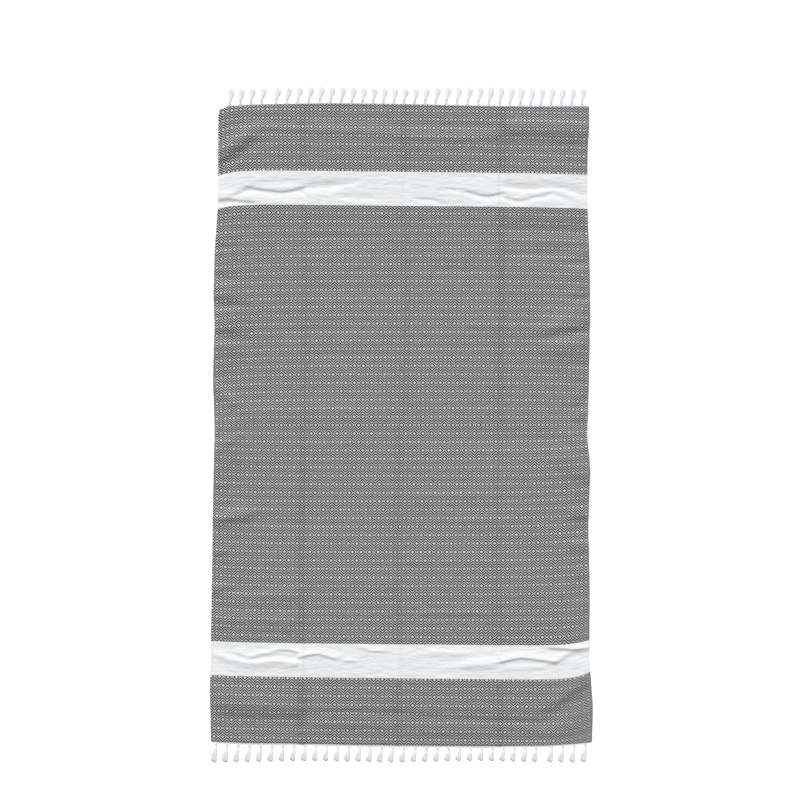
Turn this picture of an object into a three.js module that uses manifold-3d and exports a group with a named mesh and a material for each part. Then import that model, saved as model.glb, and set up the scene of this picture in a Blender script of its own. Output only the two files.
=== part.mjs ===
// A flat-woven hammam towel laid out on a level surface, in millimetres, +Z up.
//
// X runs across the towel from selvedge to selvedge and Y along its length. The origin lies on the
// surface, under the middle of the towel's bounding box. The cloth is one sheet. At each end a narrow
// strip of bare warp, parted from the cloth by a hair, carries a row of knotted tassels.

import * as THREE from "three";
import { mergeVertices } from "three/addons/utils/BufferGeometryUtils.js";
import Module from "manifold-3d";

const wasm = await Module();
wasm.setup();

// Driving dimensions -----------------------------------------------------------------------------

const CLOTH_THICKNESS = 2;
const PART_GAP = 0.3; // between the cloth's end and the strip that carries the tassels
const BAND_WIDTH = 91; // plain white band, measured along the towel
const BAND_CENTRE = 630; // from the middle of the towel to the middle of a band

const STRIP_DEPTH = 3.6;
const STRIP_THICKNESS = 1.6;
const STRIP_BEYOND = 6.8; // the strip ends this far beyond the outermost knots
const TASSELS = 34;
const TASSELS_BEFORE_WIDE_GAP = 4; // one reed dent was skipped after the fourth tassel
const LOCKS_PER_TASSEL = 3;
const GATHER_HALF_WIDTH = 5; // half of the warp that one tassel draws together
const GATHER_TIP_HALF_WIDTH = 1.4;
const GATHER_TIP_INSET = 1.2; // how far short of the knot's middle the gathered warp ends
const KNOT_DISTANCE = 11; // from the cloth's end to the middle of a knot
const KNOT_HALF_LENGTH = 3;
const KNOT_HALF_WIDTH = 2.8;
const KNOT_HEIGHT = 3.4;
const LOCK_SHORTFALL = 1.6; // a lock stops short of its tassel's tip by up to twice this

// Hand-tied tassels differ: the most that each of their sizes strays to either side.
const SPACING_SPREAD = 1.3;
const KNOT_SPREAD = 1.6;
const LEAN_SPREAD = 1.2;
const TIP_SPREAD = 1.8;

const CLOTH_COLOUR = 0x8c8a88;
const FRINGE_COLOUR = 0xe4e2e6;

// The cloth's outline, a little uneven as it came off a hand loom --------------------------------

const LEFT_SELVEDGE = [
  { y: 860, x: -478 },
  { y: 845, x: -485 },
  { y: 825, x: -489 },
  { y: 600, x: -489 },
  { y: 467, x: -498 },
  { y: 340, x: -501 },
  { y: 270, x: -498 },
  { y: 131, x: -503 },
  { y: -19, x: -498 },
  { y: -211, x: -503 },
  { y: -435, x: -506 },
  { y: -713, x: -511 },
  { y: -860, x: -508 },
];

const RIGHT_SELVEDGE = [
  { y: 860, x: 501 },
  { y: 810, x: 501 },
  { y: 740, x: 497 },
  { y: 611, x: 495 },
  { y: 443, x: 501 },
  { y: 320, x: 503 },
  { y: 45, x: 498 },
  { y: -29, x: 495 },
  { y: -115, x: 503 },
  { y: -264, x: 498 },
  { y: -435, x: 502 },
  { y: -627, x: 501 },
  { y: -750, x: 511 },
  { y: -860, x: 508 },
];

// Each end, with its own distance from the middle of the towel. The near end is written as it is
// seen from that end, with X growing to the right of somebody who stands there.
const FAR_END = [
  { x: -515, y: 842 },
  { x: -492, y: 843 },
  { x: -484, y: 850 },
  { x: -440, y: 851.5 },
  { x: -402, y: 854 },
  { x: -196, y: 858 },
  { x: -4, y: 856 },
  { x: 263, y: 850 },
  { x: 515, y: 850 },
];

const NEAR_END = [
  { x: -515, y: 844 },
  { x: -461, y: 850 },
  { x: -388, y: 855 },
  { x: -210, y: 857 },
  { x: 100, y: 854 },
  { x: 266, y: 850 },
  { x: 402, y: 849 },
  { x: 493, y: 845 },
  { x: 515, y: 841 },
];

// The two rows of tassels, each in the frame of its own end: side is 1 at the far end, -1 at the near.
// A row bulges where its middle tassels lie further along X than an even row would put them. Its
// tassels were combed out to one straight line, so far from the middle of the towel.
const FAR_ROW = {
  side: 1,
  end: FAR_END,
  firstX: -458,
  pitch: 28.2,
  wideGap: 10.4,
  bulge: 4.5,
  tipLine: 905,
  seed: 1,
};
const NEAR_ROW = {
  side: -1,
  end: NEAR_END,
  firstX: -491,
  pitch: 29.5,
  wideGap: 11.7,
  bulge: 0,
  tipLine: 899,
  seed: 2,
};

// Folds and creases: a soft ridge along each line, with its rise above the surface and the
// distance over which it dies away.
const LONG_FOLDS = [
  { fromX: -262, fromY: 838, toX: -258, toY: -836, rise: 2.6, reach: 24 },
  { fromX: 9, fromY: 838, toX: -12, toY: -836, rise: 2.2, reach: 24 },
  { fromX: 266, fromY: 834, toX: 262, toY: -838, rise: 2.6, reach: 24 },
];

const BAND_CREASES = [
  { fromX: -461, fromY: 606, toX: -405, toY: 633, rise: 3.6, reach: 17 },
  { fromX: -405, fromY: 633, toX: -271, toY: 629, rise: 3.2, reach: 17 },
  { fromX: -450, fromY: 675, toX: -461, toY: 609, rise: 3.0, reach: 24 },
  { fromX: -250, fromY: 614, toX: -204, toY: 614, rise: 3.4, reach: 18 },
  { fromX: -160, fromY: 655, toX: 70, toY: 648, rise: 1.8, reach: 16 },
  { fromX: 127, fromY: 630, toX: 215, toY: 609, rise: 3.4, reach: 16 },
  { fromX: 215, fromY: 609, toX: 311, toY: 607, rise: 3.8, reach: 17 },
  { fromX: 311, fromY: 607, toX: 410, toY: 626, rise: 3.8, reach: 17 },
  { fromX: 410, fromY: 626, toX: 463, toY: 600, rise: 3.2, reach: 16 },
];

const FIELD_WRINKLES = [
  { fromX: -490, fromY: 318, toX: -400, toY: 326, rise: 4.0, reach: 38 },
  { fromX: -496, fromY: 112, toX: -418, toY: -12, rise: 4.2, reach: 40 },
  { fromX: 392, fromY: 236, toX: 492, toY: 240, rise: 4.2, reach: 38 },
  { fromX: 452, fromY: -66, toX: 494, toY: 26, rise: 4.0, reach: 40 },
  { fromX: 383, fromY: -256, toX: 496, toY: -228, rise: 4.2, reach: 38 },
  { fromX: -479, fromY: -240, toX: -399, toY: -246, rise: 4.0, reach: 38 },
  { fromX: -479, fromY: -420, toX: -378, toY: -426, rise: 4.0, reach: 38 },
  { fromX: -240, fromY: 342, toX: -20, toY: 338, rise: 3.4, reach: 38 },
  { fromX: -240, fromY: 48, toX: -30, toY: 54, rise: 3.4, reach: 38 },
  { fromX: 24, fromY: -32, toX: 240, toY: -40, rise: 3.4, reach: 38 },
  { fromX: 36, fromY: -190, toX: 236, toY: -184, rise: 3.2, reach: 38 },
  { fromX: 10, fromY: -424, toX: 240, toY: -432, rise: 3.4, reach: 38 },
  { fromX: -485, fromY: 796, toX: -270, toY: 806, rise: 3.4, reach: 32 },
  { fromX: -250, fromY: 804, toX: 240, toY: 798, rise: 3.0, reach: 32 },
  { fromX: 485, fromY: -794, toX: 270, toY: -804, rise: 3.4, reach: 32 },
  { fromX: 250, fromY: -802, toX: -240, toY: -796, rise: 3.0, reach: 32 },
];

// The near band is creased as the far one is, turned half round.
const turnedHalfRound = (fold) => ({
  ...fold,
  fromX: -fold.fromX,
  fromY: -fold.fromY,
  toX: -fold.toX,
  toY: -fold.toY,
});

const FOLDS = [
  ...LONG_FOLDS,
  ...BAND_CREASES,
  ...BAND_CREASES.map(turnedHalfRound),
  ...FIELD_WRINKLES,
];

// The sheet's grid: closer columns beside the three lengthwise folds, closer rows in the bands.
const FOLD_COLUMNS = [-260, 0, 264];
const FOLD_FLANK = 22;
const COLUMN_SPACING = 60;
const FIELD_ROW_SPACING = 34;
const BAND_ROW_SPACING = 11.4;
const NOMINAL_HALF_LENGTH = 850;
const NOMINAL_HALF_WIDTH = 500;

// Small helpers ----------------------------------------------------------------------------------

/** Straight-line reading of a table, whose rows run either way along the key. */
function readTable(table, key, value, at) {
  const rows = table[0][key] < table[1][key] ? table : [...table].reverse();
  const next = rows.findIndex((row) => row[key] >= at);
  if (next === 0) return rows[0][value];
  if (next < 0) return rows[rows.length - 1][value];
  const share = (at - rows[next - 1][key]) / (rows[next][key] - rows[next - 1][key]);
  return THREE.MathUtils.lerp(rows[next - 1][value], rows[next][value], share);
}

/** Places from one end to the other, evenly spaced and no further apart than the spacing. */
function evenPlaces(from, to, spacing) {
  const steps = Math.ceil(Math.abs(to - from) / spacing);
  return Array.from({ length: steps }, (_, i) => from + ((to - from) * i) / steps);
}

/** A repeatable unevenness between -1 and 1 for item number i. */
const uneven = (i, seed) => Math.sin(12.9898 * (i + 1) + 78.233 * seed);

/** How far an end lies from the middle at x, which is measured in that end's own frame. */
const endDistance = (end, x) => readTable(end, "x", "y", x);

/** Height of the cloth's underside above the surface. */
function undersideHeight(x, y) {
  let height = 0;
  for (const fold of FOLDS) {
    const line = new THREE.Line3(
      new THREE.Vector3(fold.fromX, fold.fromY, 0),
      new THREE.Vector3(fold.toX, fold.toY, 0),
    );
    const here = new THREE.Vector3(x, y, 0);
    const distance = line.closestPointToPoint(here, true, new THREE.Vector3()).distanceTo(here);
    if (distance < fold.reach) {
      const share = 0.5 + 0.5 * Math.cos((Math.PI * distance) / fold.reach);
      height = Math.max(height, fold.rise * share);
    }
  }
  return height;
}

// The cloth --------------------------------------------------------------------------------------

/** Nominal places of the sheet's grid columns, as shares of the half width from -1 to 1. */
function gridColumns() {
  const stops = FOLD_COLUMNS.flatMap((x) => [x - FOLD_FLANK, x, x + FOLD_FLANK]);
  const ends = [-NOMINAL_HALF_WIDTH, ...stops, NOMINAL_HALF_WIDTH];
  const places = ends.slice(1).flatMap((to, i) => evenPlaces(ends[i], to, COLUMN_SPACING));
  return [...places, NOMINAL_HALF_WIDTH].map((x) => x / NOMINAL_HALF_WIDTH);
}

/** Nominal places of the sheet's grid rows, as shares of the half length from 1 to -1. */
function gridRows() {
  const outer = BAND_CENTRE + BAND_WIDTH / 2;
  const inner = BAND_CENTRE - BAND_WIDTH / 2;
  const places = [
    ...evenPlaces(NOMINAL_HALF_LENGTH, outer, FIELD_ROW_SPACING),
    ...evenPlaces(outer, inner, BAND_ROW_SPACING),
    ...evenPlaces(inner, -inner, FIELD_ROW_SPACING),
    ...evenPlaces(-inner, -outer, BAND_ROW_SPACING),
    ...evenPlaces(-outer, -NOMINAL_HALF_LENGTH, FIELD_ROW_SPACING),
    -NOMINAL_HALF_LENGTH,
  ];
  return places.map((y) => y / NOMINAL_HALF_LENGTH);
}

/** The point of the sheet at a share of its half width and half length, on the surface. */
function sheetPoint(across, along) {
  const { side, end } = along > 0 ? FAR_ROW : NEAR_ROW;
  const y = along * endDistance(end, side * across * NOMINAL_HALF_WIDTH);
  const left = readTable(LEFT_SELVEDGE, "y", "x", y);
  const right = readTable(RIGHT_SELVEDGE, "y", "x", y);
  return { x: THREE.MathUtils.mapLinear(across, -1, 1, left, right), y };
}

/** One closed sheet: a top grid, the same grid below it, and a wall round the outline. */
function clothGeometry() {
  const columns = gridColumns();
  const rows = gridRows();
  const wide = columns.length;
  const long = rows.length;
  const places = rows.flatMap((along) => columns.map((across) => sheetPoint(across, along)));
  const underside = places.map(({ x, y }) => [x, y, undersideHeight(x, y)]);
  const topside = underside.map(([x, y, z]) => [x, y, z + CLOTH_THICKNESS]);
  const below = (r, c) => r * wide + c;
  const above = (r, c) => wide * long + r * wide + c;
  const faces = [];
  const quad = (a, b, c, d) => faces.push(a, b, c, a, c, d);
  for (let r = 0; r + 1 < long; r += 1) {
    for (let c = 0; c + 1 < wide; c += 1) {
      quad(above(r + 1, c), above(r + 1, c + 1), above(r, c + 1), above(r, c));
      quad(below(r, c), below(r, c + 1), below(r + 1, c + 1), below(r + 1, c));
    }
    quad(below(r, 0), below(r + 1, 0), above(r + 1, 0), above(r, 0));
    quad(below(r + 1, wide - 1), below(r, wide - 1), above(r, wide - 1), above(r + 1, wide - 1));
  }
  for (let c = 0; c + 1 < wide; c += 1) {
    quad(below(0, c + 1), below(0, c), above(0, c), above(0, c + 1));
    quad(below(long - 1, c), below(long - 1, c + 1), above(long - 1, c + 1), above(long - 1, c));
  }
  const geometry = new THREE.BufferGeometry();
  const positions = [...underside, ...topside].flat();
  geometry.setAttribute("position", new THREE.Float32BufferAttribute(positions, 3));
  geometry.setIndex(faces);
  geometry.computeVertexNormals();
  return geometry;
}

// The fringes ------------------------------------------------------------------------------------

/**
 * A closed strand that lies on the surface, flat below and arched above, through sections
 * { x, y, half, height } in order of growing y. Three sides make a ridge, four a blunt lump.
 */
function strandGeometry(sections, sides) {
  const ring = Array.from({ length: sides }, (_, i) => (Math.PI * i) / (sides - 1));
  const positions = sections.flatMap(({ x, y, half, height }) =>
    ring.flatMap((turn) => [x + half * Math.cos(turn), y, height * Math.sin(turn)]),
  );
  const faces = [];
  for (let s = 0; s + 1 < sections.length; s += 1) {
    for (let i = 0; i < sides; i += 1) {
      const here = s * sides + i;
      const beside = s * sides + ((i + 1) % sides);
      faces.push(here, beside, beside + sides, here, beside + sides, here + sides);
    }
  }
  const last = (sections.length - 1) * sides;
  for (let i = 1; i + 1 < sides; i += 1) {
    faces.push(0, i + 1, i);
    faces.push(last, last + i, last + i + 1);
  }
  faces.reverse();
  const geometry = new THREE.BufferGeometry();
  geometry.setAttribute("position", new THREE.Float32BufferAttribute(positions, 3));
  geometry.setIndex(faces);
  return geometry;
}

/** Where each knot and tip of one row of tassels lies, in the frame of its end. */
function tasselPlaces({ end, firstX, pitch, wideGap, bulge, tipLine, seed }) {
  return Array.from({ length: TASSELS }, (_, i) => {
    const skipped = i < TASSELS_BEFORE_WIDE_GAP ? 0 : wideGap;
    const bulged = bulge * Math.sin((Math.PI * i) / (TASSELS - 1));
    const x = firstX + i * pitch + skipped + bulged + SPACING_SPREAD * uneven(i, seed);
    return {
      x,
      knotY: endDistance(end, x) + KNOT_DISTANCE + KNOT_SPREAD * uneven(i, seed + 3),
      lean: LEAN_SPREAD * uneven(i, seed + 5),
      tipY: tipLine + TIP_SPREAD * uneven(i, seed + 7),
    };
  });
}

/** The strip of bare warp along the cloth's end, with a tooth where each tassel is gathered. */
function headingGeometry({ side, end }, places) {
  const clothEnd = gridColumns()
    .map((across) => sheetPoint(across, side))
    .map(({ x, y }) => ({ x: side * x, y: side * y }))
    .sort((a, b) => b.x - a.x);
  const firstX = places[0].x - STRIP_BEYOND;
  const lastX = places[TASSELS - 1].x + STRIP_BEYOND;
  const between = clothEnd.map(({ x }) => x).filter((x) => x > firstX && x < lastX);
  const inner = [lastX, ...between, firstX].map(
    (x) => new THREE.Vector2(x, readTable(clothEnd, "x", "y", x) + PART_GAP),
  );
  const outer = (x) => new THREE.Vector2(x, endDistance(end, x) + PART_GAP + STRIP_DEPTH);
  const teeth = places.flatMap(({ x, knotY }) => [
    outer(x - GATHER_HALF_WIDTH),
    new THREE.Vector2(x - GATHER_TIP_HALF_WIDTH, knotY - GATHER_TIP_INSET),
    new THREE.Vector2(x + GATHER_TIP_HALF_WIDTH, knotY - GATHER_TIP_INSET),
    outer(x + GATHER_HALF_WIDTH),
  ]);
  const shape = new THREE.Shape([outer(firstX), ...teeth, outer(lastX), ...inner]);
  return new THREE.ExtrudeGeometry(shape, { depth: STRIP_THICKNESS, bevelEnabled: false });
}

/** The knot of one tassel. */
function knotGeometry({ x, knotY }) {
  const small = { half: 0.72 * KNOT_HALF_WIDTH, height: 0.7 * KNOT_HEIGHT };
  const sections = [
    { x, y: knotY - KNOT_HALF_LENGTH, ...small },
    { x, y: knotY, half: KNOT_HALF_WIDTH, height: KNOT_HEIGHT },
    { x, y: knotY + KNOT_HALF_LENGTH, ...small },
  ];
  return strandGeometry(sections, 4);
}

// How a tassel opens from its knot (0) to its tip (1): how far its middle lies to the right of its
// knot, half of the spread between its outer locks, and each lock's own size. Its left side stays
// straight and its right side flares.
const BRUSH = [
  { along: 0.03, aside: 0.1, spread: 1.25, half: 0.42, height: 1.2 },
  { along: 0.46, aside: 2.7, spread: 3.6, half: 1.2, height: 1.6 },
  { along: 1, aside: 5.2, spread: 5.3, half: 1.8, height: 2.2 },
];

/** The locks of one tassel, which part from each other as they leave the knot. */
function lockGeometries({ x, knotY, lean, tipY }, tassel, seed) {
  return Array.from({ length: LOCKS_PER_TASSEL }, (_, lock) => {
    const side = THREE.MathUtils.mapLinear(lock, 0, LOCKS_PER_TASSEL - 1, -1, 1);
    const shorter = LOCK_SHORTFALL * (1 + uneven(LOCKS_PER_TASSEL * tassel + lock, seed + 11));
    const sections = BRUSH.map(({ along, aside, spread, half, height }) => ({
      x: x + aside + lean * along + side * spread,
      y: THREE.MathUtils.lerp(knotY, tipY - shorter, along),
      half,
      height,
    }));
    return strandGeometry(sections, 3);
  });
}

/** A closed geometry as a solid for joining. */
function solid(geometry) {
  const bare = geometry.clone();
  bare.deleteAttribute("normal");
  bare.deleteAttribute("uv");
  const merged = mergeVertices(bare);
  return new wasm.Manifold(
    new wasm.Mesh({
      numProp: 3,
      vertProperties: Float32Array.from(merged.attributes.position.array),
      triVerts: Uint32Array.from(merged.index.array),
    }),
  );
}

/** One row of tassels, joined through their gathers to the strip that carries them. */
function fringeGeometry(row) {
  const places = tasselPlaces(row);
  const pieces = places.flatMap((place, i) => [
    knotGeometry(place),
    ...lockGeometries(place, i, row.seed),
  ]);
  const joined = pieces.reduce(
    (whole, piece) => whole.add(solid(piece)),
    solid(headingGeometry(row, places)),
  );
  const mesh = joined.getMesh();
  const geometry = new THREE.BufferGeometry();
  geometry.setAttribute("position", new THREE.BufferAttribute(mesh.vertProperties, 3));
  geometry.setIndex(new THREE.BufferAttribute(mesh.triVerts, 1));
  geometry.computeVertexNormals();
  return geometry;
}

// The towel --------------------------------------------------------------------------------------

/** A named mesh in a matt material of one colour. */
function namedMesh(name, geometry, color, roughness) {
  const material = new THREE.MeshStandardMaterial({ color, roughness, metalness: 0 });
  const mesh = new THREE.Mesh(geometry, material);
  mesh.name = name;
  return mesh;
}

const cloth = namedMesh("towel_cloth", clothGeometry(), CLOTH_COLOUR, 0.95);
const farFringe = namedMesh("fringe_far", fringeGeometry(FAR_ROW), FRINGE_COLOUR, 0.9);
const nearFringe = namedMesh("fringe_near", fringeGeometry(NEAR_ROW), FRINGE_COLOUR, 0.9);
nearFringe.rotation.z = Math.PI;

const towel = new THREE.Group();
towel.add(cloth, farFringe, nearFringe);

// The origin goes under the middle of the whole towel.
const middle = new THREE.Box3().setFromObject(towel).getCenter(new THREE.Vector3());
towel.position.set(-middle.x, -middle.y, 0);

export default towel;
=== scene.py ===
"""A flat-woven hammam towel laid out on a pale floor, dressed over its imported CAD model.

Sizes are in millimetres until a mesh is made. X runs across the towel, Y along it, Z up.
"""
import math
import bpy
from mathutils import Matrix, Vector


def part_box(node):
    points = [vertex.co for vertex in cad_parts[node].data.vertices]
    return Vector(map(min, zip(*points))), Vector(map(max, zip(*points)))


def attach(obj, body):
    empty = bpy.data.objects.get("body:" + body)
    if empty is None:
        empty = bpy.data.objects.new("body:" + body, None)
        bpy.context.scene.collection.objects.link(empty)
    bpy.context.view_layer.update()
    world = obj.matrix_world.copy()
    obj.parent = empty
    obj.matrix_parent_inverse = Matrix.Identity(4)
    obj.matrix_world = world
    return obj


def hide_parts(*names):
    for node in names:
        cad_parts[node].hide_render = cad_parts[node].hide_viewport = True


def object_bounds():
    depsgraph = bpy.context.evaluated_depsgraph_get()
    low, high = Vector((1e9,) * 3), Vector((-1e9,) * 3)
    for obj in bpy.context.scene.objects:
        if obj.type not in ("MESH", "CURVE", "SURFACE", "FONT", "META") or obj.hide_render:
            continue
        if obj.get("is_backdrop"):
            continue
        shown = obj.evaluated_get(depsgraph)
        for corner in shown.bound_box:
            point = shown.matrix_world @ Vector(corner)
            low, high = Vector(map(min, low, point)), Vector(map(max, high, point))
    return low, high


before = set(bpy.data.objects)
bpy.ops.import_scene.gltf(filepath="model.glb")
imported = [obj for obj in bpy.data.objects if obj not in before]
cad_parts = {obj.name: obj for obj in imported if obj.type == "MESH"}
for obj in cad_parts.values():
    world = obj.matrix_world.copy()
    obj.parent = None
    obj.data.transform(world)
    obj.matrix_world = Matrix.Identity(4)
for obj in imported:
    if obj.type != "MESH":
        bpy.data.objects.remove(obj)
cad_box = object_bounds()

from types import SimpleNamespace

import bpy
import numpy as np

MM = 0.001

# --- Sizes of the cloth --------------------------------------------------------------------------

CLOTH_THICKNESS = 2.0
NOMINAL_HALF_LENGTH = 850.0
NOMINAL_HALF_WIDTH = 500.0
OUTLINE_ROUNDING = 14.0  # the outline's corners between table rows are rounded over this distance
ROUNDING_SAMPLES = 9

LEFT_SELVEDGE = [  # distance along the towel, place across it
    (860, -478), (845, -485), (825, -489), (600, -489), (467, -498), (340, -501), (270, -498),
    (131, -503), (-19, -498), (-211, -503), (-435, -506), (-713, -511), (-860, -508),
]
RIGHT_SELVEDGE = [
    (860, 501), (810, 501), (740, 497), (611, 495), (443, 501), (320, 503), (45, 498),
    (-29, 495), (-115, 503), (-264, 498), (-435, 502), (-627, 501), (-750, 511), (-860, 508),
]
# Each end as it is seen by somebody who stands there: place across, distance from the middle.
FAR_END = [
    (-515, 842), (-492, 843), (-484, 850), (-440, 851.5), (-402, 854), (-196, 858), (-4, 856),
    (263, 850), (515, 850),
]
NEAR_END = [
    (-515, 844), (-461, 850), (-388, 855), (-210, 857), (100, 854), (266, 850), (402, 849),
    (493, 845), (515, 841),
]

# --- The weave -----------------------------------------------------------------------------------

# Rows of diamonds are counted from the middle of the towel: distance, count. The plain bands lie
# between two counts.
ROW_PLACES = [(0, 0.0), (587.3, 26.0), (678.8, 30.0), (839.4, 37.0), (1068.9, 47.0)]
BAND_FROM_ROW = 25.88
BAND_TO_ROW = 29.85
COLUMN_PITCH = 22.9
ENDS_PER_COLUMN = 12
PICKS_PER_ROW = 13

# How the rows sag towards the middle on the far half, by distance from the middle: how deep at the
# left selvedge and how far in, and the same at the right selvedge.
LEFT_SAG = [(0, 12.0), (520, 10.5), (590, 16.0), (680, 23.0), (860, 20.0)]
LEFT_SAG_WIDTH = [(0, 95.0), (520, 95.0), (587, 38.0), (860, 34.0)]
RIGHT_SAG = [(0, 6.5), (520, 8.0), (587, 3.5), (860, 2.5)]
RIGHT_SAG_WIDTH = 95.0
# How much nearer to the middle the rows lie for each millimetre to the right, by distance.
SLOPE_TO_RIGHT = [(0, 0.0), (480, 0.0), (587, 0.009), (680, 0.0105), (860, 0.012)]
# How far the columns of the far half stand to the right at mid width, and how far outward at the
# selvedges, by distance.
COLUMN_DRIFT = [(0, 0.0), (93, 0.0), (334, 5.4), (860, 5.0)]
COLUMN_SPREAD = [(0, 0.0), (563, 0.0), (697, 5.5), (860, 8.5)]
TURN_ZONE = 120.0  # the two halves' drifts pass into each other over this length


def read_table(table, at):
    """Straight-line reading of (key, value) rows, whichever way the keys run."""
    keys, values = np.array(sorted(table), float).T
    return np.interp(at, keys, values)


def read_rounded(table, at):
    """The same with its corners rounded."""
    offsets = np.linspace(-OUTLINE_ROUNDING, OUTLINE_ROUNDING, ROUNDING_SAMPLES)
    return sum(read_table(table, at + offset) for offset in offsets) / len(offsets)


def end_distance(side, x):
    """How far the far (1) or near (-1) end lies from the middle, at x in that end's own frame."""
    return np.where(side > 0, read_rounded(FAR_END, x), read_rounded(NEAR_END, x))


def smooth(t):
    """An even rise from nothing at 0 to one at 1, level at both ends."""
    t = np.clip(t, 0.0, 1.0)
    return t * t * (3 - 2 * t)


def cad_shift():
    """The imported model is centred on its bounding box, a little off the tables' own middle."""
    low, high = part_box("towel_cloth")
    far = max(distance for _, distance in FAR_END)
    near = max(distance for _, distance in NEAR_END)
    return ((high[1] + low[1]) / MM - (far - near)) / 2


SHIFT_Y = cad_shift()

# --- Folds and creases ---------------------------------------------------------------------------

# The far half's creases. A crease runs through its stops (x, y). It is a trough of the depth given,
# or a ridge where the depth is negative, and dies away within one reach towards the far end and
# within the other towards the near end. In a lengthwise fold these lie to its left and right.
LONG_FOLDS = [  # the towel was stored folded lengthwise
    dict(stops=[(266, 856), (263, 60)], depth=2.8, far=5, near=5),
    dict(stops=[(266, 850), (265, 690)], depth=3.4, far=9, near=7),
    dict(stops=[(10, 856), (6, 60)], depth=2.2, far=6, near=6),
    dict(stops=[(-260, 856), (-260, 690)], depth=2.2, far=6, near=6),
    dict(stops=[(-260, 690), (-260, 60)], depth=1.2, far=6, near=6),
]
BAND_CREASES = [
    # the long fold from the left selvedge, and the hollow that it starts from
    dict(stops=[(-461, 604), (-434, 618), (-407, 632)], depth=2.4, far=3.2, near=10),
    dict(stops=[(-407, 632), (-379, 627), (-322, 620), (-298, 623), (-270, 630)],
         depth=3.5, far=2.6, near=13),
    dict(stops=[(-494, 609), (-466, 606)], depth=-3.4, far=18, near=5),
    dict(stops=[(-494, 594), (-458, 597), (-440, 596), (-400, 592)], depth=3.6, far=3.6, near=9),
    dict(stops=[(-270, 629), (-257, 613)], depth=1.6, far=3, near=6),
    dict(stops=[(-449, 675), (-457, 644), (-462, 612)], depth=1.4, far=4, near=7),
    dict(stops=[(-372, 646), (-275, 650)], depth=1.2, far=6, near=9),
    # the broad hollow beside it
    dict(stops=[(-244, 634), (-215, 636), (-180, 637)], depth=3.4, far=14, near=11),
    dict(stops=[(-176, 642), (-120, 646)], depth=1.5, far=10, near=8),
    dict(stops=[(-170, 609), (-70, 605)], depth=1.5, far=9, near=8),
    # two short folds at mid width
    dict(stops=[(46, 603), (88, 601), (112, 591)], depth=1.9, far=3, near=8),
    dict(stops=[(126, 630), (150, 628)], depth=1.7, far=3, near=8),
    # the fold that ends at the right-hand lengthwise fold
    dict(stops=[(180, 621), (204, 614), (225, 609), (244, 612), (266, 617)],
         depth=3.2, far=2.8, near=11),
    # the hollow, ridge and folds towards the right selvedge
    dict(stops=[(284, 634), (330, 628), (376, 632)], depth=3.4, far=15, near=6),
    dict(stops=[(279, 605), (302, 598), (328, 598), (354, 608), (382, 610)],
         depth=2.2, far=3.2, near=8),
    dict(stops=[(388, 616), (408, 620), (420, 614), (435, 606)], depth=2.6, far=3.4, near=8),
    dict(stops=[(405, 634), (440, 628), (470, 618), (492, 612)], depth=3.2, far=14, near=7),
]
FIELD_WRINKLES = [
    # the wave across the panel at the end, and the ends of the wave at the selvedges
    dict(stops=[(-391, 797), (-284, 789), (-124, 782), (9, 772), (143, 766), (263, 772)],
         depth=-2.6, far=9, near=7),
    dict(stops=[(-400, 820), (-290, 812)], depth=2.4, far=6, near=9),
    dict(stops=[(286, 802), (350, 804), (500, 794)], depth=-6.0, far=14, near=26),
    dict(stops=[(300, 752), (420, 746), (500, 736)], depth=3.6, far=24, near=48),
    dict(stops=[(-500, 712), (-430, 760), (-404, 782)], depth=-6.5, far=16, near=24),
    dict(stops=[(-494, 682), (-430, 724), (-396, 752)], depth=4.0, far=14, near=13),
    dict(stops=[(-484, 806), (-400, 818)], depth=3.0, far=9, near=12),
    dict(stops=[(-240, 818), (-30, 812)], depth=2.2, far=8, near=10),
    dict(stops=[(20, 806), (230, 798)], depth=2.0, far=7, near=10),
    # long shallow wrinkles between the lengthwise folds
    dict(stops=[(-255, 362), (-180, 358), (-12, 360)], depth=2.4, far=10, near=7),
    dict(stops=[(-307, 253), (-137, 254)], depth=2.0, far=8, near=8),
    dict(stops=[(-255, 190), (-12, 188)], depth=2.4, far=9, near=8),
    dict(stops=[(182, 268), (270, 262), (390, 252)], depth=-2.4, far=8, near=9),
    dict(stops=[(200, 57), (262, 56)], depth=2.4, far=6, near=7),
    dict(stops=[(-230, 500), (-60, 498)], depth=2.0, far=9, near=9),
    dict(stops=[(300, 520), (480, 516)], depth=3.4, far=22, near=16),
    dict(stops=[(300, 452), (480, 462)], depth=3.0, far=24, near=12),
    dict(stops=[(20, 420), (230, 412)], depth=1.8, far=10, near=9),
    dict(stops=[(-480, 42), (-60, 36)], depth=-2.4, far=18, near=30),
]
# Short creases that start from the selvedges, with one reach to both sides.
SELVEDGE_TROUGHS = [
    dict(stops=[(410, 236), (440, 240), (500, 252)], depth=7.5, reach=15),
    dict(stops=[(482, 434), (500, 438)], depth=6.5, reach=14),
    dict(stops=[(476, 336), (500, 339)], depth=5.0, reach=11),
    dict(stops=[(480, 160), (500, 154)], depth=3.5, reach=10),
    dict(stops=[(-500, 394), (-476, 392)], depth=5.0, reach=10),
    dict(stops=[(-500, 324), (-458, 320)], depth=6.0, reach=12),
    dict(stops=[(-500, 238), (-464, 234)], depth=7.0, reach=14),
    dict(stops=[(-500, 480), (-476, 476)], depth=3.5, reach=10),
]
SELVEDGE_RIDGES = [
    dict(stops=[(-500, 104), (-450, 60)], depth=6.5, reach=13),
    dict(stops=[(456, 62), (500, 108)], depth=4.5, reach=12),
    dict(stops=[(462, 22), (500, 34)], depth=4.5, reach=12),
    dict(stops=[(-500, 160), (-470, 154)], depth=4.0, reach=11),
]
BESIDE_TROUGH = 1.5  # a selvedge trough's two sides crest this many reaches from its line
BROAD_SIDE = 34.0  # and fall away from it within this distance


def half_round(stops):
    """The same stops turned half round about the middle of the towel."""
    return [(-x, -y) for x, y in stops]


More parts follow.
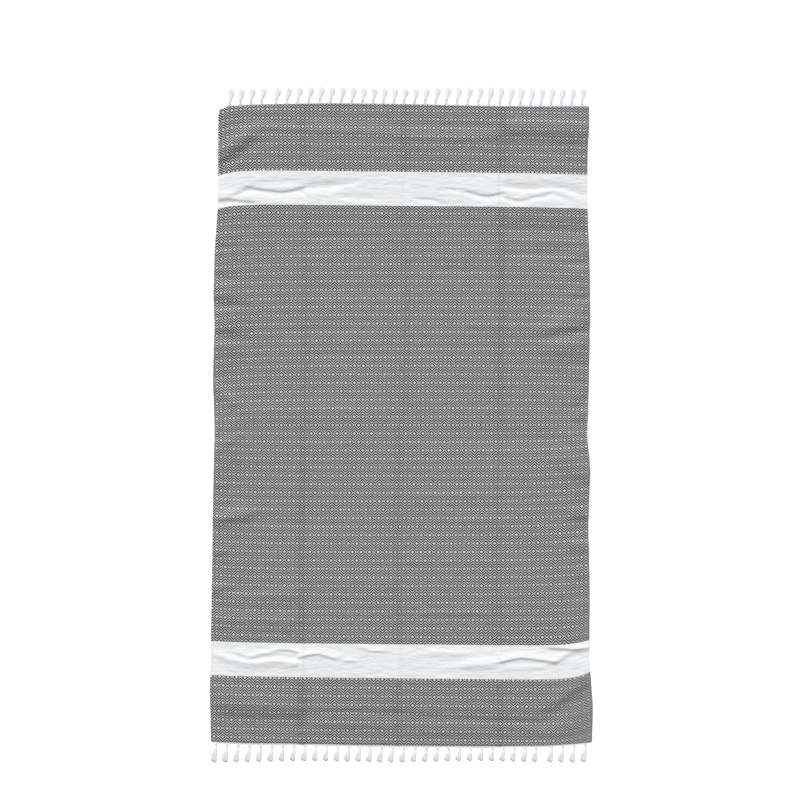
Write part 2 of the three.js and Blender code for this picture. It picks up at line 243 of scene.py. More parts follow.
def raised(crease):
    """A selvedge ridge: the cloth rises from the floor along the stops."""
    reach = crease["reach"]
    return [dict(stops=crease["stops"], depth=-crease["depth"], far=reach, near=reach)]


def raised_beside(crease):
    """A selvedge trough: the cloth lies on the floor along the stops and rises on both sides."""
    reach = crease["reach"]
    away = BESIDE_TROUGH * reach
    beyond = [(x, y + away) for x, y in crease["stops"]]
    before = [(x, y - away) for x, y in crease["stops"]]
    return [
        dict(stops=beyond, depth=-crease["depth"], far=BROAD_SIDE, near=reach),
        dict(stops=before, depth=-crease["depth"], far=reach, near=BROAD_SIDE),
    ]


def turned_half_round(crease):
    """The same crease turned half round, as a ridge where it was a trough."""
    return dict(
        stops=half_round(crease["stops"]),
        depth=-crease["depth"],
        far=crease["near"],
        near=crease["far"],
    )


def selvedge_creases():
    """Both halves' short creases: a trough of the far half is a ridge of the near half."""
    creases = []
    for crease in SELVEDGE_TROUGHS:
        turned = dict(crease, stops=half_round(crease["stops"]))
        creases += raised_beside(crease) + raised(turned)
    for crease in SELVEDGE_RIDGES:
        turned = dict(crease, stops=half_round(crease["stops"]))
        creases += raised(crease) + raised_beside(turned)
    return creases


FAR_CREASES = LONG_FOLDS + BAND_CREASES + FIELD_WRINKLES
CREASES = FAR_CREASES + [turned_half_round(crease) for crease in FAR_CREASES] + selvedge_creases()

FLOAT_HEIGHT = 4.2  # the cloth's inner part lies this far above the floor, on its own creases
SIDE_RIM = 45.0  # it comes down towards the floor within this distance of a selvedge
END_RIM = 110.0  # and within this distance of an end
SELVEDGE_SHARE = 0.3  # the share of that height which is left at the selvedges
CREASE_SHARE_AT_RIM = 0.5  # the share of a crease's depth which is left at the rim


def crease_depth(crease, x, y):
    """How deep one crease is at x, y: what the nearest of its straight stretches gives."""
    share = np.zeros_like(x)
    stops = crease["stops"]
    longer_reach = max(crease["far"], crease["near"])
    for (from_x, from_y), (to_x, to_y) in zip(stops, stops[1:]):
        length = math.hypot(to_x - from_x, to_y - from_y)
        along_x, along_y = (to_x - from_x) / length, (to_y - from_y) / length
        along = (x - from_x) * along_x + (y - from_y) * along_y
        across = -(x - from_x) * along_y + (y - from_y) * along_x
        if along_x < 0:
            across = -across
        past_end = np.maximum(np.maximum(-along, along - length), 0.0)
        reach = np.where(across > 0, crease["far"], crease["near"])
        distance = np.hypot(across / reach, past_end / longer_reach)
        share = np.maximum(share, np.exp(-distance**2))
    return crease["depth"] * share


def height(x, y):
    """Height of the cloth's underside above the floor."""
    total = -sum(crease_depth(crease, x, y) for crease in CREASES)
    left, right = read_rounded(LEFT_SELVEDGE, y), read_rounded(RIGHT_SELVEDGE, y)
    end = end_distance(np.sign(y), np.sign(y) * x)
    from_selvedge = smooth(np.minimum(x - left, right - x) / SIDE_RIM)
    from_end = smooth((end - np.abs(y)) / END_RIM)
    inner = from_end * (SELVEDGE_SHARE + (1 - SELVEDGE_SHARE) * from_selvedge)
    share = CREASE_SHARE_AT_RIM + (1 - CREASE_SHARE_AT_RIM) * inner
    return np.maximum(FLOAT_HEIGHT * inner + total * share, 0.0)


# --- Meshes --------------------------------------------------------------------------------------


def mesh_object(name, vertices, faces, material):
    """A smooth-shaded object from vertices in millimetres."""
    mesh = bpy.data.meshes.new(name)
    mesh.from_pydata((np.asarray(vertices, float) * MM).tolist(), [], faces)
    mesh.polygons.foreach_set("use_smooth", [True] * len(mesh.polygons))
    mesh.materials.append(material)
    mesh.update()
    thing = bpy.data.objects.new(name, mesh)
    bpy.context.scene.collection.objects.link(thing)
    return thing


def set_uv(mesh, name, places):
    """Gives each corner of the mesh the (u, v) place of its vertex."""
    corner = np.empty(len(mesh.loops), np.int32)
    mesh.loops.foreach_get("vertex_index", corner)
    layer = mesh.uv_layers.new(name=name)
    layer.data.foreach_set("uv", places[corner].ravel())


# --- Cloth ---------------------------------------------------------------------------------------

# Where the columns and rows of the mesh lie, as on a plain rectangle: place, and spacing up to the
# next one. They are close at the edges, along the lengthwise folds and in the bands.
MESH_COLUMNS = [
    (-500, 2.0), (-496, 9.6), (-280, 3.4), (-246, 9.6), (-10, 5.1), (26, 9.6), (246, 3.4),
    (280, 9.6), (496, 2.0), (500, 0),
]
MESH_ROWS = [
    (850, 2.0), (846, 5.6), (684, 1.8), (580, 6.1), (-580, 1.8), (-684, 5.6), (-846, 2.0),
    (-850, 0),
]


def stations(stops):
    """Places from the first stop to the last; each stop is (place, spacing to the next stop)."""
    places = []
    for (start, spacing), (end, _) in zip(stops, stops[1:]):
        steps = max(1, round(abs(end - start) / spacing))
        places += [start + (end - start) * i / steps for i in range(steps)]
    return np.array(places + [stops[-1][0]])


def row_drift(x, y):
    """How far the rows of the far half lie from their nominal places."""
    y = np.maximum(y, 0.0)
    from_left = np.maximum(x + NOMINAL_HALF_WIDTH, 0.0)
    from_right = np.maximum(NOMINAL_HALF_WIDTH - x, 0.0)
    left = read_table(LEFT_SAG, y) * np.exp(-from_left / read_table(LEFT_SAG_WIDTH, y))
    right = read_table(RIGHT_SAG, y) * np.exp(-from_right / RIGHT_SAG_WIDTH)
    return -left - right - read_table(SLOPE_TO_RIGHT, y) * x


def column_drift(x, y):
    """How far the columns of the far half lie to the right of their nominal places."""
    y = np.maximum(y, 0.0)
    share = x / NOMINAL_HALF_WIDTH
    return read_table(COLUMN_DRIFT, y) * (1 - share**2) + read_table(COLUMN_SPREAD, y) * share


def weave_coordinates(x, y):
    """Where the weave's column and row counts stand at a point of the laid cloth."""
    far = smooth(y / TURN_ZONE + 0.5)
    row_y = y - far * row_drift(x, y) + (1 - far) * row_drift(-x, -y)
    column_x = x - far * column_drift(x, y) + (1 - far) * column_drift(-x, -y)
    row = np.sign(row_y) * read_table(ROW_PLACES, np.abs(row_y))
    return column_x / COLUMN_PITCH, row


def cloth_grid():
    """The mesh's places x and y, row by row from the far end, fitted into the outline."""
    columns = stations(MESH_COLUMNS) / NOMINAL_HALF_WIDTH
    rows = stations(MESH_ROWS) / NOMINAL_HALF_LENGTH
    across, along = np.meshgrid(columns, rows)
    side = np.where(along >= 0, 1, -1)
    y = along * end_distance(side, side * across * NOMINAL_HALF_WIDTH)
    left, right = read_rounded(LEFT_SELVEDGE, y), read_rounded(RIGHT_SELVEDGE, y)
    x = left + (right - left) * (across + 1) / 2
    return x, y


def sheet_faces(long, wide):
    """Faces of a closed sheet: a lower grid, the same grid above it, and a wall round both."""
    number = np.arange(long * wide).reshape(long, wide)
    # the four corners of each of the grid's faces, in order round it
    a, b, c, d = number[:-1, :-1], number[:-1, 1:], number[1:, 1:], number[1:, :-1]
    below = np.stack([a, b, c, d], -1).reshape(-1, 4)
    above = np.stack([d, c, b, a], -1).reshape(-1, 4) + long * wide
    rim = np.concatenate([number[0, :-1], number[:-1, -1], number[-1, :0:-1], number[:0:-1, 0]])
    after = np.roll(rim, -1)
    wall = np.stack([rim, rim + long * wide, after + long * wide, after], -1)
    return np.concatenate([below, above, wall]).tolist()


def make_cloth(material):
    """The creased cloth as one closed sheet, with its weave coordinates and its underside marked."""
    x, y = cloth_grid()
    lower = np.stack([x, y + SHIFT_Y, height(x, y)], -1).reshape(-1, 3)
    upper = lower + np.array([0.0, 0.0, CLOTH_THICKNESS])
    vertices = np.concatenate([lower, upper])
    cloth = mesh_object("woven_towel_cloth", vertices, sheet_faces(*x.shape), material)
    column, row = weave_coordinates(x, y)
    threads = np.stack([column.ravel(), row.ravel()], -1)
    set_uv(cloth.data, "weave", np.tile(threads, (2, 1)))
    underside = cloth.data.attributes.new("underside", "FLOAT", "POINT")
    underside.data.foreach_set("value", np.repeat([1.0, 0.0], x.size))
    return cloth


# --- Fringes -------------------------------------------------------------------------------------

TASSELS = 34
TASSELS_BEFORE_WIDE_GAP = 4
# Each row is measured in the frame of its end. Its middle tassels stand further right by the bulge,
# and its tips were combed out to one straight line, so far from the middle of the towel.
FAR_ROW = dict(
    end=FAR_END, side=1, first_x=-458, pitch=28.2, wide_gap=10.4, bulge=4.5, tip_line=905, seed=1
)
NEAR_ROW = dict(
    end=NEAR_END, side=-1, first_x=-491, pitch=29.5, wide_gap=11.7, bulge=0, tip_line=899, seed=2
)
FLOOR_GAP = 0.05  # no yarn reaches lower than this

# How uneven the tassels are, to either side.
SPACING_SPREAD = 1.3
KNOT_SPREAD = 1.6
LEAN_SPREAD = 1.2
TIP_SPREAD = 1.8
# Each kind of unevenness adds its own number to the row's seed.
KINDS = dict(spacing=0, knot=3, lean=5, tip=7, strand=13, strand_length=17, strand_wave=19)
ITEM_STEP = 12.9898  # radians from one item to the next, so it swings once in about 15 items
SEED_STEP = 78.233  # and from one seed to the next

HEADING_PICKS = 2  # the last weft picks, in white, beside the cloth's edge
FIRST_PICK = 0.8  # distance past the cloth's edge
PICK_SPACING = 1.3
PICK_HEIGHT = 1.1
PICK_WAVE = 0.35  # how far a pick goes over and under the warp ends
PICK_RADIUS = 0.7

WARP_ENDS = 14  # warp ends drawn into one tassel
END_SPACING = 1.95
END_RADIUS = 0.42
END_ROOT = [(-1.0, 1.2), (1.3, 1.0)]  # how an end leaves the cloth: distance past its edge, height
HEADING_DEPTH = 2.6
# How near to the tassel's own line its ends are drawn in, on their way from the heading to the knot.
GATHER = [(0.0, 0.9), (0.08, 0.5), (0.2, 0.3), (0.45, 0.22), (1.0, 0.18)]
GATHER_HEIGHT = 0.9
GATHER_RISE = 1.0  # how much higher an end is at the knot
SECOND_RISE = 0.5  # and how much more each second end is

KNOT_DISTANCE = 11.0
KNOT_RADIUS = 2.7
KNOT_HEIGHT = 1.6
KNOT_FLATNESS = 0.38  # how high a winding is, as a share of its width
KNOT_STEPS = 8  # straight stretches in one winding
WINDING_SPACING = 1.6
WINDING_SLANT = 0.3
WINDING_RADIUS = 0.75

BRUSH_STRANDS = 26
STRAND_RADIUS = 0.72
STRAND_TIP = 0.5  # the radius at a strand's tip, as a share
STRAND_STOPS = (0.0, 0.1, 0.2, 0.3, 0.42, 0.54, 0.66, 0.78, 0.9, 1.0)
STRAND_JITTER = 0.3  # as a share of the strands' spacing
STRAND_RAGGEDNESS = 0.5  # strands are shorter by up to twice this
STRAND_WAVE = 0.3
WAVE_ANGLE = 7.0  # radians from the knot to the tip
WAVE_START = 3.0  # a strand's wave starts up to so many radians to either side
UPPER_STRANDS = 1.3  # how far each second strand lies above the others at the knot
UPPER_SINK = 1.1  # how much of that it has lost at its tip
BRUSH_DOME = 1.1
# The two sides of the combed brush, by the share of its length from the knot to the tip.
BRUSH_LEFT = [(0.0, -2.0), (0.3, -2.7), (0.8, -2.5), (1.0, -2.1)]
BRUSH_RIGHT = [
    (0.0, 2.2), (0.15, 3.2), (0.3, 5.2), (0.5, 8.8), (0.7, 11.8), (0.85, 13.0), (1.0, 12.4),
]
# How much shorter the brush is than its longest strand, from its left side (0) to its right (1).
BRUSH_TIP = [
    (0.0, 4.5), (0.12, 1.8), (0.35, 0.0), (0.58, 0.6), (0.7, 4.6), (0.8, 3.0), (0.92, 4.0),
    (1.0, 7.0),
]


def uneven(kind, i, seed):
    """A repeatable, slowly swinging unevenness between -1 and 1 for item number i."""
    return math.sin(ITEM_STEP * (i + 1) + SEED_STEP * (seed + KINDS[kind]))


def tube(path, radii, sides=4):
    """Vertices, faces and (round, along) places of a closed tube along a path."""
    path = np.asarray(path, float)
    radii = np.asarray(radii, float)
    heading = np.gradient(path, axis=0)
    heading /= np.linalg.norm(heading, axis=1)[:, None]
    sideways = np.cross(heading, [0.0, 0.0, 1.0])
    sideways /= np.linalg.norm(sideways, axis=1)[:, None]
    upward = np.cross(sideways, heading)
    turn = np.arange(sides) * 2 * math.pi / sides
    ring = (
        np.cos(turn)[None, :, None] * sideways[:, None]
        + np.sin(turn)[None, :, None] * upward[:, None]
    )
    vertices = (path[:, None] + radii[:, None, None] * ring).reshape(-1, 3)
    faces = []
    for s in range(len(path) - 1):
        for k in range(sides):
            here, beside = s * sides + k, s * sides + (k + 1) % sides
            faces.append((here, beside, beside + sides, here + sides))
    faces.append(tuple(reversed(range(sides))))
    last = (len(path) - 1) * sides
    faces.append(tuple(range(last, last + sides)))
    step = np.linalg.norm(np.diff(path, axis=0), axis=1)
    along = np.concatenate([[0.0], np.cumsum(step)])
    places = np.stack(
        [np.tile(np.arange(sides) / sides, len(path)), np.repeat(along, sides)], -1
    )
    return vertices, faces, places


def tassel_places(row):
    """Where each knot and tip of one row of tassels lies, in the frame of its end."""
    seed = row["seed"]
    for i in range(TASSELS):
        skipped = 0 if i < TASSELS_BEFORE_WIDE_GAP else row["wide_gap"]
        x = row["first_x"] + i * row["pitch"] + skipped + SPACING_SPREAD * uneven("spacing", i, seed)
        x += row["bulge"] * math.sin(math.pi * i / (TASSELS - 1))
        edge = float(read_rounded(row["end"], x))
        yield dict(
            i=i,
            x=x,
            knot_y=edge + KNOT_DISTANCE + KNOT_SPREAD * uneven("knot", i, seed),
            lean=LEAN_SPREAD * uneven("lean", i, seed),
            tip_y=row["tip_line"] + TIP_SPREAD * uneven("tip", i, seed),
        )


def heading_picks(row):
    """The last weft picks, which hold the warp ends beside the cloth's edge."""
    last_x = row["first_x"] + (TASSELS - 1) * row["pitch"] + row["wide_gap"]
    beyond = WARP_ENDS * END_SPACING / 4
    xs = np.arange(row["first_x"] - beyond, last_x + beyond, END_SPACING)
    for pick in range(HEADING_PICKS):
        y = read_rounded(row["end"], xs) + FIRST_PICK + PICK_SPACING * pick
        over = (np.arange(len(xs)) + pick) % 2 == 0
        z = PICK_HEIGHT + PICK_WAVE * np.where(over, 1, -1)
        yield tube(np.stack([xs, y, z], -1), np.full(len(xs), PICK_RADIUS))


def warp_ends(place, end):
    """The warp ends of one tassel, from the cloth's edge to their knot."""
    for n in range(WARP_ENDS):
        side = (n - (WARP_ENDS - 1) / 2) * END_SPACING
        x = place["x"] + side
        edge = float(read_rounded(end, x))
        start = edge + HEADING_DEPTH
        path = [(x, edge + past, z) for past, z in END_ROOT]
        for share, drawn_in in GATHER:
            y = start + (place["knot_y"] - start) * share
            z = GATHER_HEIGHT + GATHER_RISE * share + SECOND_RISE * (n % 2) * share
            path.append((place["x"] + side * drawn_in, y, z))
        yield tube(path, [END_RADIUS] * len(path))


def knot(place):
    """Yarn wound round the gathered ends: a short lump of two windings."""
    for winding in (-0.5, 0.5):
        path = []
        for k in range(KNOT_STEPS + 1):
            angle = 2 * math.pi * k / KNOT_STEPS
            path.append((
                place["x"] + KNOT_RADIUS * math.cos(angle),
                place["knot_y"] + WINDING_SPACING * winding + WINDING_SLANT * math.sin(angle),
                KNOT_HEIGHT + KNOT_FLATNESS * KNOT_RADIUS * math.sin(angle),
            ))
        yield tube(path, [WINDING_RADIUS] * len(path))


def brush(place, seed):
    """The loose ends beyond the knot, combed out: its left side straight, its right side flared."""
    for n in range(BRUSH_STRANDS):
        number = place["i"] * BRUSH_STRANDS + n
        side = (n + 0.5 + STRAND_JITTER * uneven("strand", number, seed)) / BRUSH_STRANDS
        ragged = STRAND_RAGGEDNESS * (1 + uneven("strand_length", number, seed))
        length = place["tip_y"] - (float(read_table(BRUSH_TIP, side)) + ragged) - place["knot_y"]
        wave_start = WAVE_START * uneven("strand_wave", number, seed)
        upper = n % 2
        domed = 4 * side * (1 - side)
        path = []
        for share in STRAND_STOPS:
            left, right = float(read_table(BRUSH_LEFT, share)), float(read_table(BRUSH_RIGHT, share))
            wave = STRAND_WAVE * math.sin(WAVE_ANGLE * share + wave_start) * share
            x = place["x"] + left + (right - left) * side + place["lean"] * share + wave
            z = STRAND_RADIUS + upper * (UPPER_STRANDS - UPPER_SINK * share)
            z += BRUSH_DOME * domed * math.sin(math.pi * share)
            path.append((x, place["knot_y"] + length * share, z))
        yield tube(path, [STRAND_RADIUS] * (len(path) - 1) + [STRAND_RADIUS * STRAND_TIP])


def make_fringe(name, row, material):
    """One row of tassels as one mesh."""
    parts = list(heading_picks(row))
    for place in tassel_places(row):
        parts += warp_ends(place, row["end"])
        parts += knot(place)
        parts += brush(place, row["seed"])
    vertices, faces, places, start = [], [], [], 0
    for part_vertices, part_faces, part_places in parts:
        vertices.append(part_vertices)
        places.append(part_places)
        faces += [tuple(start + v for v in face) for face in part_faces]
        start += len(part_vertices)
    vertices = np.concatenate(vertices)
    vertices[:, :2] *= row["side"]
    vertices[:, 1] += SHIFT_Y
    vertices[:, 2] = np.maximum(vertices[:, 2], FLOOR_GAP)
    fringe = mesh_object(name, vertices, faces, material)
    set_uv(fringe.data, "yarn", np.concatenate(places))
    return fringe


# --- Materials -----------------------------------------------------------------------------------


class Graph:
    """Short names for building a material's nodes."""

    def __init__(self, name):
        self.material = bpy.data.materials.new(name)
        self.material.use_nodes = True
        self.nodes = self.material.node_tree.nodes
        self.links = self.material.node_tree.links
        self.shader = self.nodes["Principled BSDF"]

    def node(self, kind, inputs=(), **settings):
        node = self.nodes.new(kind)
        for key, value in settings.items():
            setattr(node, key, value)
        for key, value in dict(inputs).items():
            self.put(node.inputs[key], value)
        return node

    def put(self, socket, value):
        if isinstance(value, bpy.types.NodeSocket):
            self.links.new(value, socket)
        else:
            socket.default_value = value

    def math(self, operation, *values, clamped=False):
        node = self.node("ShaderNodeMath", dict(enumerate(values)), operation=operation)
        node.use_clamp = clamped
        return node.outputs[0]

    def mix(self, share, first, second):
        """A number between two others."""
        difference = self.math("SUBTRACT", second, first)
        return self.math("ADD", first, self.math("MULTIPLY", share, difference))

    def mix_colour(self, share, first, second):
        """A colour between two others. The node has sockets of its own for each type of data."""
        node = self.nodes.new("ShaderNodeMix")
        node.data_type = "RGBA"
        self.put(node.inputs[0], share)
        self.put(node.inputs[6], first)
        self.put(node.inputs[7], second)
        return node.outputs[2]

    def rounded(self, place):
        """One along the middle of a thread or float, nothing along its sides or ends."""
        off = self.math("MULTIPLY_ADD", place, 2.0, -1.0)
        return self.math("SUBTRACT", 1.0, self.math("MULTIPLY", off, off))

    def stretched_noise(self, vector, stretch, detail):
        stretched = self.node("ShaderNodeVectorMath", {0: vector, 1: stretch}, operation="MULTIPLY")
        inputs = {"Vector": stretched.outputs[0], "Scale": 1.0, "Detail": detail}
        return self.node("ShaderNodeTexNoise", inputs).outputs["Fac"]

    def surface(self, colour, roughness, specular):
        self.put(self.shader.inputs["Base Color"], colour)
        self.put(self.shader.inputs["Roughness"], roughness)
        self.put(self.shader.inputs["Specular IOR Level"], specular)

    def bump(self, height, strength=1.0, distance=1.0):
        inputs = {"Height": height, "Strength": strength, "Distance": distance}
        node = self.node("ShaderNodeBump", inputs)
        self.put(self.shader.inputs["Normal"], node.outputs[0])


# How the point twill runs, in picks and ends from the middle of a diamond.
TWILL_ROUND = 4.0  # weft over two ends, then under two
TWILL_FLOAT = 2.0
TWILL_START = 1.0  # the first round starts so far before the middle
FIRST_CROSSING = 1.0  # before this the warp's long floats hide what would cross them
LAST_CROSSING = 19.0  # and past this, in a diamond's corners

# How light the threads are, from 0 to 1, with the shade and light on the threads painted in.
CHARCOAL = 0.009
SHADE = 0.012  # a white float's ends: partly covered by the charcoal weft, partly painted shade
FLOAT_WHITE = 0.98  # its middle
FLOAT_STEEPNESS = 3.0  # how steeply its light falls towards its ends
BAND_WHITE = 0.62  # the middle of a thread in the plain bands
BAND_SHADE = 0.54  # its sides, in painted shade
WHITE_BALANCE = (0.992, 1.0, 1.012)  # the cotton is a very little cooler than grey
# Painted light: floats are painted lighter where they stand proudest, where the twill turns: on the
# mirror ends and on the row lines.
STRAIGHT_LIGHT = 0.64
END_TURN_LIGHT = 0.22
ROW_TURN_LIGHT = 0.14
END_SIDE_LIGHT = 0.85  # painted shade along the sides of a warp end, as a share
# Shade painted into the weave's colour along the lengthwise folds, fading out within the reach below.
FOLD_PAINTED_SHADE = [(264, 0.14), (7, 0.10), (-260, 0.09)]  # painted shade along the lengthwise folds: place across the far half, share of light lost
FOLD_SHADE_REACH = 16.0

# Relief in metres. Waves and crumples are longer across the cloth than along it: their stretch says
# how many there are to a column and to a row.
WAVE_HEIGHT = 0.0020
WAVE_STRETCH = (0.13, 0.42, 1.0)
WAVE_DETAIL = 2.0
CRUMPLE_HEIGHT = 0.0021
CRUMPLE_STRETCH = (0.8, 2.2, 1.0)
CRUMPLE_DETAIL = 4.0
THREAD_RELIEF = 0.00004

YARN_WHITE = (0.68, 0.675, 0.72, 1)
# painted shade in the grooves between the yarn's plies
YARN_SHADE = (0.58, 0.575, 0.62, 1)
YARN_PLIES = 2.0  # on the way round the yarn
YARN_TWIST = 0.55  # plies to a millimetre of its length
TWIST_STRENGTH = 0.4
TWIST_RELIEF = 0.0003  # metres

# How matt each surface is: roughness, specular level.
CLOTH_MATT = (0.92, 0.05)
YARN_MATT = (0.9, 0.2)
FLOOR_MATT = (0.95, 0.0)
FLOOR_COLOUR = (0.9, 0.9, 0.9, 1)


def read_threads(g):
    """A point's place among the diamonds, the warp ends and the weft picks."""
    uv = g.node("ShaderNodeUVMap", uv_map="weave").outputs[0]
    split = g.node("ShaderNodeSeparateXYZ", {0: uv})
    column, signed_row = split.outputs[0], split.outputs[1]
    row = g.math("ABSOLUTE", signed_row)
    end_place = g.math("MULTIPLY_ADD", column, ENDS_PER_COLUMN, 0.5)
    pick_place = g.math("MULTIPLY_ADD", row, PICKS_PER_ROW, 0.5)
    return SimpleNamespace(
        uv=uv,
        column=column,
        signed_row=signed_row,
        row=row,
        end=g.math("FLOOR", end_place),
        across_end=g.math("FRACT", end_place),
        pick_place=pick_place,
        pick=g.math("FLOOR", pick_place),
        across_pick=g.math("FRACT", pick_place),
    )


def point_twill(g, threads):
    """Where weft lies on top, how far along its float the warp is, and ends from a diamond's line."""
    # The diamonds of each row stand half a column to the side of those of the row before.
    half = ENDS_PER_COLUMN / 2
    row_number = g.math("FLOOR", g.math("DIVIDE", g.math("ADD", threads.pick, 0.5), PICKS_PER_ROW))
    shifted = g.math("ADD", g.math("MULTIPLY_ADD", row_number, half, half), threads.end)
    in_column = g.math("FLOORED_MODULO", shifted, ENDS_PER_COLUMN)
    from_column = g.math("ABSOLUTE", g.math("SUBTRACT", in_column, half))
    picks_down = g.math("MULTIPLY_ADD", row_number, -PICKS_PER_ROW, threads.pick_place)
    away = g.math("ADD", picks_down, from_column)

    step = g.math("FLOORED_MODULO", g.math("ADD", away, TWILL_START), TWILL_ROUND)
    middle = (FIRST_CROSSING + LAST_CROSSING) / 2
    past_middle = g.math("ABSOLUTE", g.math("SUBTRACT", away, middle))
    crossed = g.math("LESS_THAN", past_middle, LAST_CROSSING - middle)
    return SimpleNamespace(
        weft_up=g.math("MULTIPLY", g.math("LESS_THAN", step, TWILL_FLOAT), crossed),
        along_float=g.math("FRACT", g.math("MULTIPLY", step, 1 / TWILL_FLOAT)),
        from_column=from_column,
    )


def warp_light(g, threads, twill):
    """How light a white warp end is along and across its float: painted shade at its ends and sides,
    painted light where the twill turns.
    """
    float_light = g.math("POWER", g.rounded(twill.along_float), FLOAT_STEEPNESS)
    end_turn = g.math("MULTIPLY_ADD", twill.from_column, 4.0 / ENDS_PER_COLUMN, -1.0)
    row_turn = g.math("MULTIPLY_ADD", g.math("FRACT", threads.row), 2.0, -1.0)
    turn_light = g.math("MULTIPLY_ADD", g.math("ABSOLUTE", row_turn), ROW_TURN_LIGHT, STRAIGHT_LIGHT)
    turn_light = g.math("MULTIPLY_ADD", g.math("ABSOLUTE", end_turn), END_TURN_LIGHT, turn_light)
    crown = g.rounded(threads.across_end)
    end_light = g.math("MULTIPLY_ADD", crown, 1 - END_SIDE_LIGHT, END_SIDE_LIGHT)
    return g.math("MULTIPLY", g.math("MULTIPLY", float_light, end_light), turn_light)


def fold_painted_shade(g, threads):
    """The share of light left by the shade painted along the lengthwise folds, and all of it
    elsewhere.
    """
    along_far_half = g.math("MULTIPLY", threads.column, g.math("SIGN", threads.signed_row))
    painted_shade = 0.0
    for x, share in FOLD_PAINTED_SHADE:
        off = g.math("ABSOLUTE", g.math("SUBTRACT", along_far_half, x / COLUMN_PITCH))
        beside = g.math("MULTIPLY_ADD", off, -COLUMN_PITCH / FOLD_SHADE_REACH, 1.0, clamped=True)
        painted_shade = g.math("MULTIPLY_ADD", beside, share, painted_shade)
    return g.math("SUBTRACT", 1.0, painted_shade)


def twill_grey(g, threads):
    """White warp over charcoal weft; the underside shows the other threads."""
    twill = point_twill(g, threads)
    underside = g.node("ShaderNodeAttribute", attribute_name="underside").outputs["Fac"]
    turned_over = g.math("GREATER_THAN", underside, 0.5)
    weft_up = g.math("ABSOLUTE", g.math("SUBTRACT", twill.weft_up, turned_over))
    white_yarn = g.mix(warp_light(g, threads, twill), SHADE, FLOAT_WHITE)
    before_fold_shade = g.mix(weft_up, white_yarn, CHARCOAL)
    # painted shade along the lengthwise folds
    return g.math("MULTIPLY", before_fold_shade, fold_painted_shade(g, threads))


def band_grey(g, threads):
    """Plain weave in white: each thread is over one and under one, with painted shade on its sides.
    """
    weft_up = g.math("FLOORED_MODULO", g.math("ADD", threads.end, threads.pick), 2.0)
    crown = g.mix(weft_up, g.rounded(threads.across_end), g.rounded(threads.across_pick))
    return g.mix(crown, BAND_SHADE, BAND_WHITE)


def cloth_relief(g, threads):
    """Broad waves, soft crumples and the warp ends."""
    wave = g.stretched_noise(threads.uv, WAVE_STRETCH, WAVE_DETAIL)
    crumple = g.stretched_noise(threads.uv, CRUMPLE_STRETCH, CRUMPLE_DETAIL)
    relief = g.math("MULTIPLY", wave, WAVE_HEIGHT)
    relief = g.math("MULTIPLY_ADD", crumple, CRUMPLE_HEIGHT, relief)
    return g.math("MULTIPLY_ADD", g.rounded(threads.across_end), THREAD_RELIEF, relief)


def weave_material():
    """Point twill with plain white bands, thread by thread."""
    g = Graph("diamond_twill")
    threads = read_threads(g)
    past_start = g.math("GREATER_THAN", threads.row, BAND_FROM_ROW)
    before_end = g.math("LESS_THAN", threads.row, BAND_TO_ROW)
    in_band = g.math("MULTIPLY", past_start, before_end)
    grey = g.mix(in_band, twill_grey(g, threads), band_grey(g, threads))
    channels = {k: g.math("MULTIPLY", grey, share) for k, share in enumerate(WHITE_BALANCE)}
    colour = g.node("ShaderNodeCombineColor", channels)
    g.surface(colour.outputs[0], *CLOTH_MATT)
    g.bump(cloth_relief(g, threads))
    return g.material


def yarn_material():
    """Loose white cotton yarn with its twist; the grooves between its plies have painted shade as
    well as their bump.
    """
    g = Graph("white_yarn")
    uv = g.node("ShaderNodeUVMap", uv_map="yarn").outputs[0]
    split = g.node("ShaderNodeSeparateXYZ", {0: uv})
    round_yarn = g.math("MULTIPLY", split.outputs[0], YARN_PLIES)
    along_yarn = g.math("MULTIPLY", split.outputs[1], YARN_TWIST)
    ply = g.math("ADD", round_yarn, along_yarn)
    twist = g.math("ABSOLUTE", g.math("SINE", g.math("MULTIPLY", ply, math.pi)))
    g.surface(g.mix_colour(twist, YARN_SHADE, YARN_WHITE), *YARN_MATT)
    g.bump(twist, TWIST_STRENGTH, TWIST_RELIEF)
    return g.material


def floor_material():
    """A plain pale floor."""
    g = Graph("pale_floor")
    g.surface(FLOOR_COLOUR, *FLOOR_MATT)
    return g.material


# --- Stage ---------------------------------------------------------------------------------------

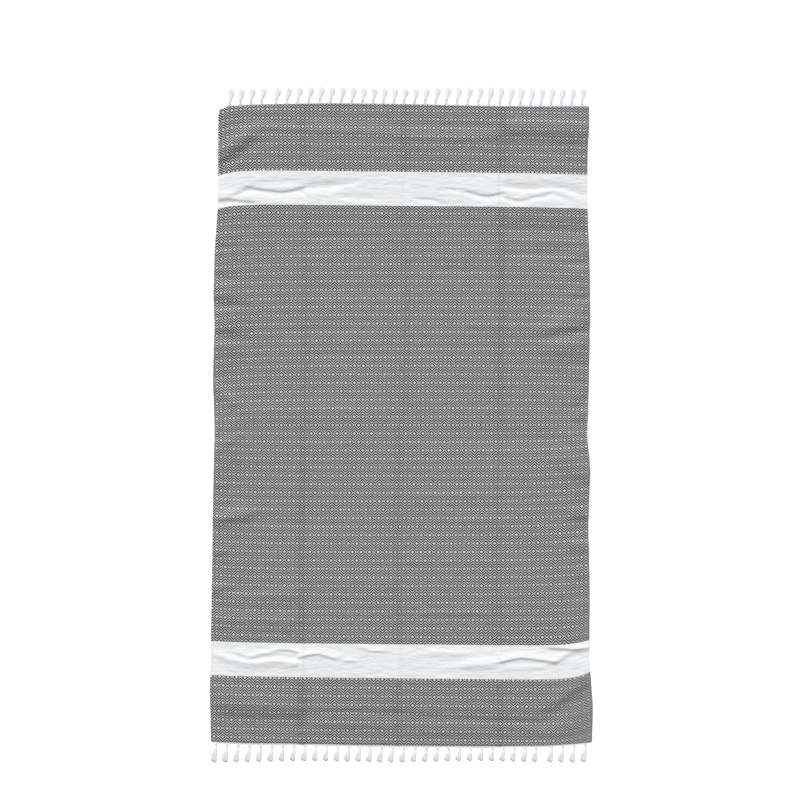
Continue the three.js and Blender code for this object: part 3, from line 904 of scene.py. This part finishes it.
FLOOR_SIDE = 80000.0
VIEW_MIDDLE = (-4.0, 66.75)  # the place at the middle of the picture, as the tables measure it
VIEW_WIDTH = 2136.0
CAMERA_HEIGHT = 5000.0
SENSOR_WIDTH = 36.0
FARTHEST_SEEN = 100.0  # metres
ROOM_WHITE = (1, 1, 1, 1)
ROOM_LIGHT = 0.60
KEY_LIGHT = 4.7
KEY_SOFTNESS = 50.0  # degrees across, as seen from the floor
KEY_TILT = (-57.0, -11.0)  # degrees about X and Y, from straight above


def make_floor():
    """One large square to stand on, declared as stage."""
    half = FLOOR_SIDE / 2
    corners = [(-half, -half, 0), (half, -half, 0), (half, half, 0), (-half, half, 0)]
    floor = mesh_object("floor", corners, [(0, 1, 2, 3)], floor_material())
    floor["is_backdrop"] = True


def make_camera():
    """Straight above, with the photo's scale and middle."""
    data = bpy.data.cameras.new("camera")
    data.sensor_width = SENSOR_WIDTH
    data.lens = SENSOR_WIDTH * CAMERA_HEIGHT / VIEW_WIDTH
    data.clip_end = FARTHEST_SEEN
    camera = bpy.data.objects.new("camera", data)
    x, y = VIEW_MIDDLE
    camera.location = (x * MM, (y + SHIFT_Y) * MM, CAMERA_HEIGHT * MM)
    bpy.context.scene.collection.objects.link(camera)
    bpy.context.scene.camera = camera


def make_lights():
    """A bright room and one broad soft light from beyond the far end, to the left."""
    world = bpy.data.worlds.new("studio")
    world.use_nodes = True
    room = world.node_tree.nodes["Background"]
    room.inputs["Color"].default_value = ROOM_WHITE
    room.inputs["Strength"].default_value = ROOM_LIGHT
    bpy.context.scene.world = world
    sun = bpy.data.lights.new("key_light", "SUN")
    sun.energy = KEY_LIGHT
    sun.angle = math.radians(KEY_SOFTNESS)
    lamp = bpy.data.objects.new("key_light", sun)
    tilt_x, tilt_y = KEY_TILT
    lamp.rotation_euler = (math.radians(tilt_x), math.radians(tilt_y), 0)
    bpy.context.scene.collection.objects.link(lamp)


bpy.context.scene.view_settings.view_transform = "Standard"
make_floor()
make_camera()
make_lights()

cloth = make_cloth(weave_material())
yarn = yarn_material()
far_fringe = make_fringe("tassels_far", FAR_ROW, yarn)
near_fringe = make_fringe("tassels_near", NEAR_ROW, yarn)

pieces = {"towel_cloth": cloth, "fringe_far": far_fringe, "fringe_near": near_fringe}
for node, piece in pieces.items():
    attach(piece, "root")
    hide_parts(node)

boxes = {"cad": cad_box, "visual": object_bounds()}
{k: [[float(c) for c in corner] for corner in box] for k, box in boxes.items()}
